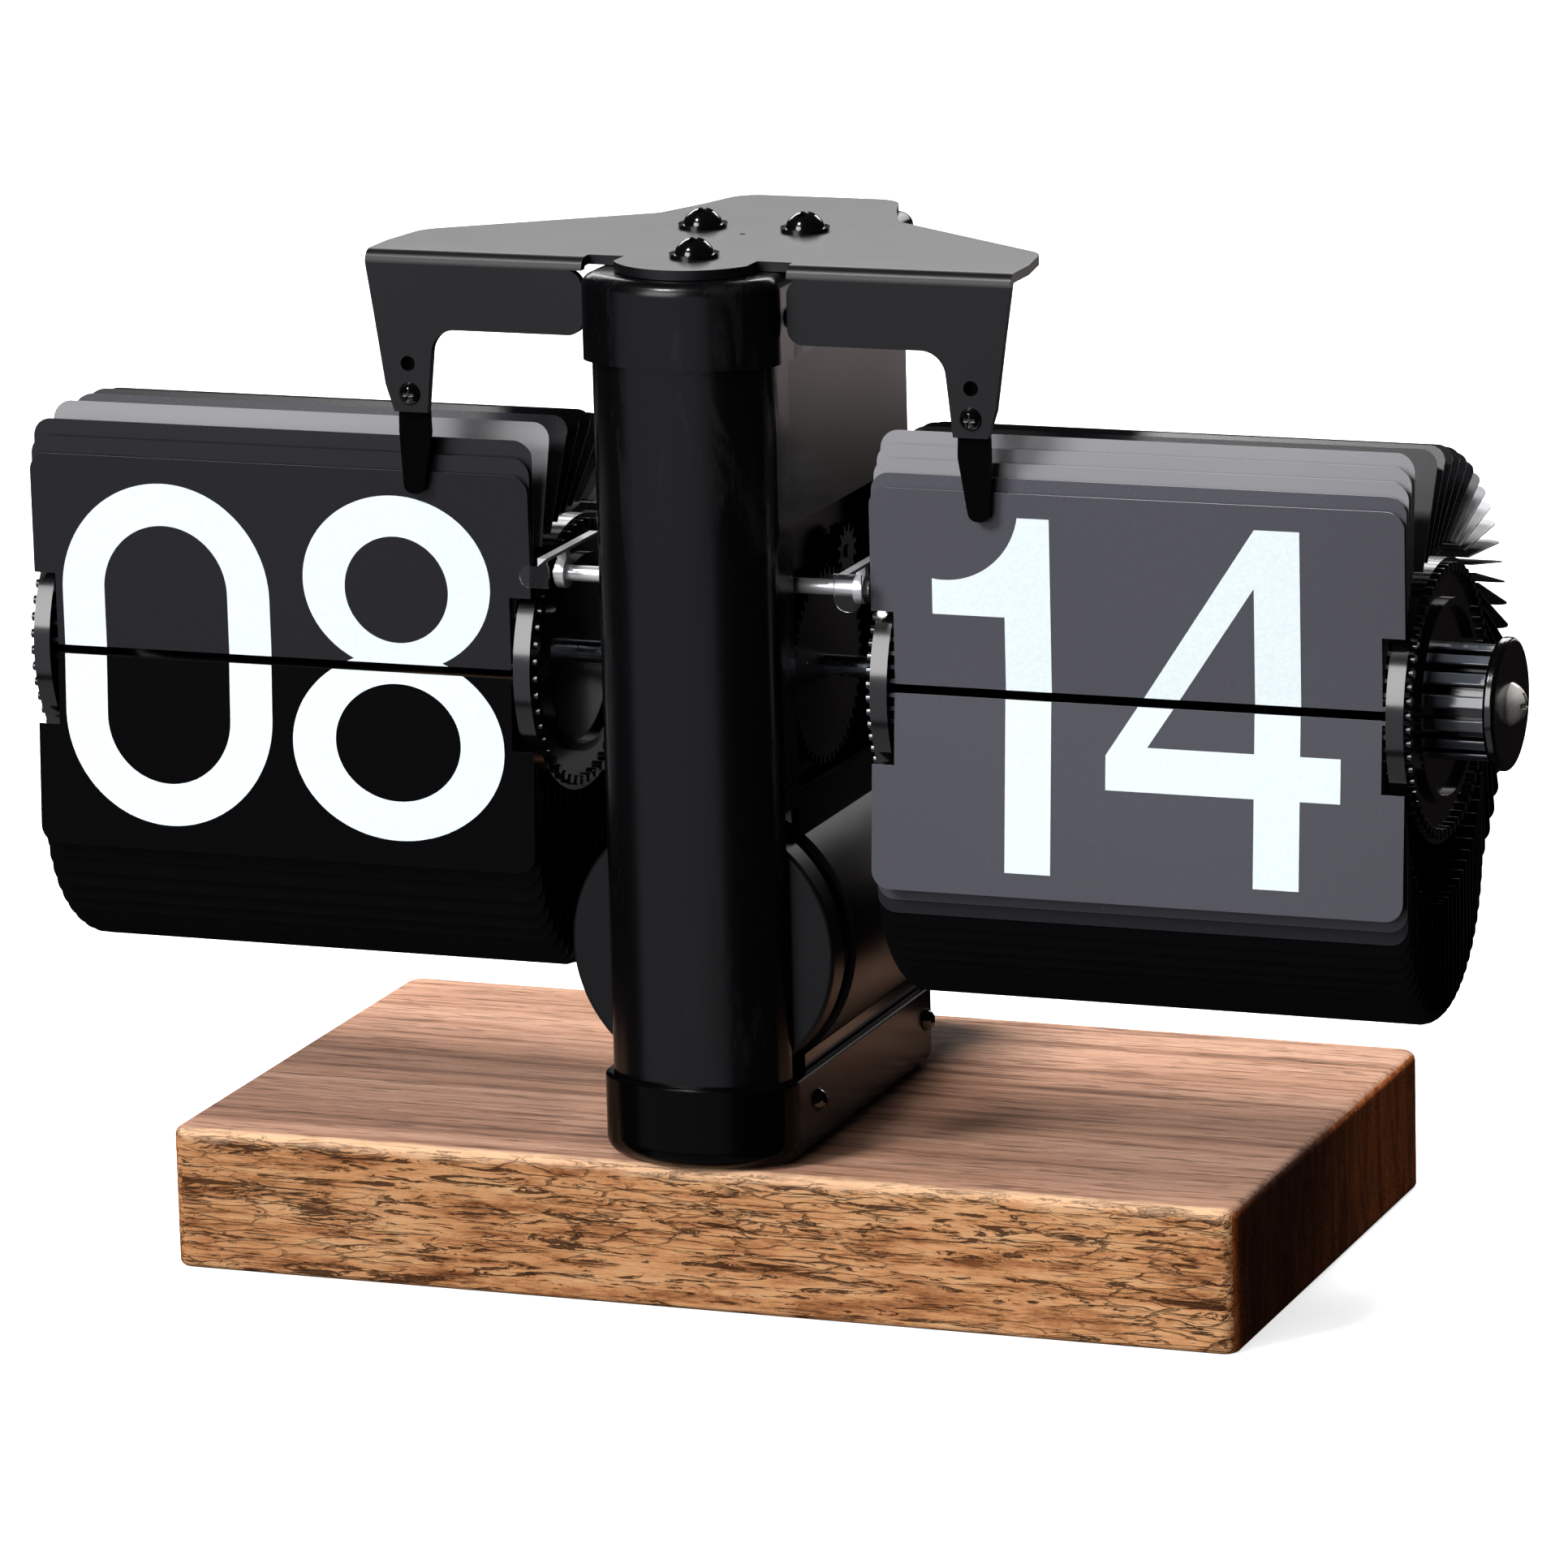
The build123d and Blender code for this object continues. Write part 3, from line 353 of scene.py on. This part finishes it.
def card(name, *stops, rough=0.26, specular=0.35, edge=0.10):
    """Card sheet: stops give its grey level by the upward lean of each leaf, which paints in reflection and shade; its
    cut side ends show paler, a painted highlight.
    """
    s = Shader(name, rough=rough, Specular_IOR_Level=specular)
    facing = s.node("ShaderNodeTexCoord").outputs["Normal"]
    haze = s.noise(s.scaled((18, 18, 18)), 1.0, 2.0)
    tooth = s.noise(s.scaled((3200, 3200, 3200)), 1.0, 2.0)
    tones = [(at, (level, level, level * (BLUE_IN_DARK if level < DARK_LEAF else BLUE_IN_PALE))) for at, level in stops]
    # Painted reflection and shade: each leaf's grey level follows its upward lean, and edges facing up take painted
    # highlights.
    leaf = s.ramp(s.axis(Z, facing), *tones)
    leaf = s.mix(s.math("MULTIPLY_ADD", haze, 0.25, -0.03, clamp=True), leaf, (0.0, 0.0, 0.0))
    # Painted highlight on the cut side ends of the leaves.
    painted_end_highlight = s.ramp(s.math("ABSOLUTE", s.axis(X, facing)), (0.90, 0.0), (0.95, 1.0))
    colour = s.mix(painted_end_highlight, leaf, (edge, edge, edge * 1.1))
    roughness = s.math("MULTIPLY_ADD", tooth, 0.08, rough - 0.04)
    colour = dust(s, colour, 120.0, 0.02, 0.28)
    return s.use(Base_Color=colour, Roughness=roughness, Normal=s.bump(tooth, 0.04, 0.00002))


def metal(name, base, rough, body=1.0):
    """Metal turned or drawn along X; a body under 1 keeps it pale where it would mirror the dark room."""
    s = Shader(name, base=base, rough=rough, metal=body)
    lines = s.noise(s.scaled((200, 2500, 2500)), 1.0, 3.0, 0.6)
    roughness = s.math("MULTIPLY_ADD", lines, 0.12, rough - 0.04)
    colour = s.ramp(lines, (0.3, tuple(c * 0.85 for c in base)), (0.7, base))
    return s.use(Base_Color=colour, Roughness=roughness, Normal=s.bump(lines, 0.04, 0.00002))


def knob_gloss():
    """Gloss black whose rib tops carry a painted bluish-grey highlight."""
    s = Shader("knob_gloss", rough=0.16, Specular_IOR_Level=0.9, Coat_Weight=0.5, Coat_Roughness=0.1)
    across = s.math("SUBTRACT", s.axis(Y), KNOB_AXIS[0])
    rise = s.math("SUBTRACT", s.axis(Z), KNOB_AXIS[1])
    radius = s.math("SQRT", s.math("ADD", s.math("MULTIPLY", across, across), s.math("MULTIPLY", rise, rise)))
    # Painted highlight: the rib tops on the sleeve take a patchy bluish grey.
    crest = s.math("MULTIPLY_ADD", radius, 4000.0, -4000.0 * KNOB_CREST, clamp=True)
    sleeve = s.math("LESS_THAN", s.axis(X), KNOB_SLEEVE_END)
    sheen_patchiness = s.noise(s.scaled((90, 900, 900)), 1.0, 4.0, 0.6)
    wear_and_sheen = s.math("MULTIPLY", s.math("MULTIPLY", crest, sleeve), s.math("MULTIPLY_ADD", sheen_patchiness, 0.8, 0.45, clamp=True))
    colour = s.mix(wear_and_sheen, KNOB_BLACK, KNOB_RIB_SHEEN)
    smear = s.noise(s.scaled((60, 60, 25)), 1.0, 4.0, 0.6)
    return s.use(Base_Color=colour, Roughness=s.math("MULTIPLY_ADD", smear, 0.14, 0.09))


def numeral_print():
    """Matt white ink, slightly cool."""
    s = Shader("numeral_print", rough=0.55, Specular_IOR_Level=0.3)
    weave = s.noise(s.scaled((2400, 2400, 2400)), 1.0, 2.0)
    colour = s.ramp(weave, (0.3, (0.80, 0.90, 0.93)), (0.7, (0.88, 0.97, 1.0)))
    return s.use(Base_Color=colour, Normal=s.bump(weave, 0.05, 0.00003))


def clear_leaf():
    """Clear plastic with a faint haze."""
    s = Shader("clear_leaf", base=(0.93, 0.95, 0.96), rough=0.08, Transmission_Weight=1.0, IOR=1.49)
    haze = s.noise(s.scaled((700, 700, 700)), 1.0, 2.0)
    return s.use(Roughness=s.math("MULTIPLY_ADD", haze, 0.12, 0.03))


def paint(material, *names):
    """Give the whole of each named piece one finish."""
    for name in names:
        mesh = NODES[name].data
        mesh.materials.clear()
        mesh.materials.append(material)


def paint_where(name, material, chosen):
    """Give the faces whose centres are chosen a further finish."""
    mesh = NODES[name].data
    mesh.materials.append(material)
    for face in mesh.polygons:
        if chosen(face.center):
            face.material_index = len(mesh.materials) - 1


# Base.
paint(walnut(), "wood_base")
paint(black_satin("pad_rubber", 0.02, 0.8, 1200), "base_pads")
paint(metal("zinc", ZINC, 0.35), "base_bolts")

# Column, bracket and their screws.
paint(column_enamel(), "front_tube", "top_cap")
paint(black_gloss("cap_enamel", 0.18, 0.0008, 0.10), "bottom_cap")
paint(black_satin("shell_enamel", 0.003, 0.22, 1800, 0.04, specular=0.28), "rear_shell")
paint(black_satin("bracket_coat", 0.0035, 0.36, 3000, 0.08, specular=0.45), "top_bracket")
paint(black_gloss("finger_black", 0.26, 0.0010, 0.03), "minute_finger", "hour_finger")
paint(black_gloss("screw_black", 0.10, 0.001, 1.0, coat=0.6), "column_screws", "top_bracket_screws", "finger_screws")

# Flaps and numerals.
# Painted reflection: the minute cards are painted a paler grey than the hour cards, with a painted highlight on edges
# facing up.
paint(card("minute_card", (0.0, 0.078), (0.90, 0.078), (0.95, 0.45)), "minute_upper_card", "minute_lower_card")
# Painted reflection: the leaves that lean back slightly are painted pale grey, steeper ones near black, and edges
# facing up take a painted highlight.
paint(card("minute_fan", (0.0, 0.004), (0.010, 0.085), (0.028, 0.085), (0.031, 0.30), (0.14, 0.28), (0.20, 0.004),
           (0.90, 0.006), (0.97, 0.35)), "minute_upper_flaps")
# Painted shade: the rear and hanging minute flaps are painted near black, with painted highlights on edges facing up.
paint(card("minute_stack", (0.0, 0.0010), (0.70, 0.002), (0.90, 0.16), (0.98, 0.35), specular=0.06),
      "minute_rear_flaps", "minute_hanging_flaps")
# Painted highlight on the hour upper card's edges facing up.
paint(card("hour_card", (0.0, 0.011), (0.90, 0.011), (0.97, 0.10)), "hour_upper_card")
# Painted reflection: leaves that lean back moderately are painted pale grey, the least and most leaning ones dark.
paint(card("hour_fan", (0.0, 0.003), (0.010, 0.016), (0.15, 0.016), (0.22, 0.20), (0.34, 0.17), (0.42, 0.035),
           (0.53, 0.020), (0.60, 0.002)), "hour_upper_flaps")
# Painted shade: the hour lower card and the rear and hanging hour flaps are painted near black, darker than the upper
# card, with faint painted highlights on edges facing up.
paint(card("hour_stack", (0.0, 0.0012), (0.90, 0.0015), (0.98, 0.03), specular=0.06, edge=0.03),
      "hour_lower_card", "hour_rear_flaps", "hour_hanging_flaps")
paint(numeral_print(), "minute_numerals_upper", "minute_numerals_lower", "hour_numerals_upper",
      "hour_numerals_lower")

# The two leaves just behind the minute lower card are painted paler, a painted reflection of the light they catch.
STACK_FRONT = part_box("minute_hanging_flaps")[0][Y]
FIRST_LEAF_BACK, SECOND_LEAF_BACK = STACK_FRONT + 0.00017, STACK_FRONT + 0.0004
paint_where("minute_hanging_flaps",
            card("minute_second_leaf", (0.0, 0.016), (0.90, 0.016), (0.97, 0.35), specular=0.15),
            lambda centre: centre.y < SECOND_LEAF_BACK)
paint_where("minute_hanging_flaps",
            card("minute_first_leaf", (0.0, 0.046), (0.90, 0.046), (0.97, 0.35)),
            lambda centre: centre.y < FIRST_LEAF_BACK)

# Drums, knob and works.
paint(black_gloss("disc_gloss", 0.14, 0.0012, 0.9, coat=0.5), "minute_inner_disc", "minute_outer_disc",
      "hour_inner_disc", "hour_outer_disc", "minute_pins", "hour_pins", "minute_drum_tube", "hour_drum_tube")
paint(knob_gloss(), "setting_knob")
paint(metal("screw_nickel", NICKEL_SCREW, 0.14, body=0.15), "knob_screw")
paint(black_satin("train_black", 0.0018, 0.4, specular=0.15), "minute_drive_gear", "minute_step_pinion",
      "hour_drive_gear", "reduction_wheel", "reduction_pinion", "motor_pinion", "right_works_plate",
      "left_works_plate", "movement_case", "works_pillars")
paint(metal("shaft_steel", STEEL, 0.25), "minute_shaft", "hour_shaft", "reduction_arbor")
paint(metal("bush_brass", BRASS, 0.30), "bearing_bushes")

# Cross rod and leaf catches: bright arm, clear tab in front of it.
CATCH_LOW, CATCH_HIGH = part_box("minute_catch")
ARM_BOTTOM, TAB_BACK = CATCH_HIGH[Z] - 0.0006, CATCH_LOW[Y] + 0.0006
paint(metal("bright_chrome", CHROME, 0.22, body=0.6), "cross_rod")
leaf_metal = metal("leaf_metal", CHROME, 0.22, body=0.5)
for catch in ("minute_catch", "hour_catch"):
    paint(clear_leaf(), catch)
    paint_where(catch, leaf_metal, lambda centre: centre.z > ARM_BOTTOM or centre.y > TAB_BACK)

# Battery holder.
paint(black_satin("holder_matte", 0.003, 0.42, 2200, 0.10, specular=0.3), "battery_tube", "battery_front_disc",
      "battery_cap")
paint(metal("contact_nickel", NICKEL, 0.2), "front_contact", "cap_spring")
paint(black_satin("cell_jacket", 0.06, 0.3), "battery_cell")


# --- floor --------------------------------------------------------------------
FLOOR_REACH = 6.0
FLOOR_EMISSION = 0.75


def make_floor():
    """A pale plane that takes shadows but is kept out of reflections and does not light the object."""
    mesh = bpy.data.meshes.new("floor")
    corners = [(x * FLOOR_REACH, y * FLOOR_REACH, 0) for x, y in ((-1, -1), (1, -1), (1, 1), (-1, 1))]
    mesh.from_pydata(corners, [], [(0, 1, 2, 3)])
    floor = bpy.data.objects.new("floor", mesh)
    scene.collection.objects.link(floor)
    ground = Shader("floor", base=(0.9, 0.9, 0.9), rough=0.9, Specular_IOR_Level=0.1)
    ground.bsdf.inputs["Emission Color"].default_value = (1, 1, 1, 1)
    ground.bsdf.inputs["Emission Strength"].default_value = FLOOR_EMISSION
    mesh.materials.append(ground.material)
    floor.visible_glossy = False
    floor.visible_diffuse = False
    floor.visible_transmission = False
    floor.visible_shadow = False
    return floor


floor = make_floor()
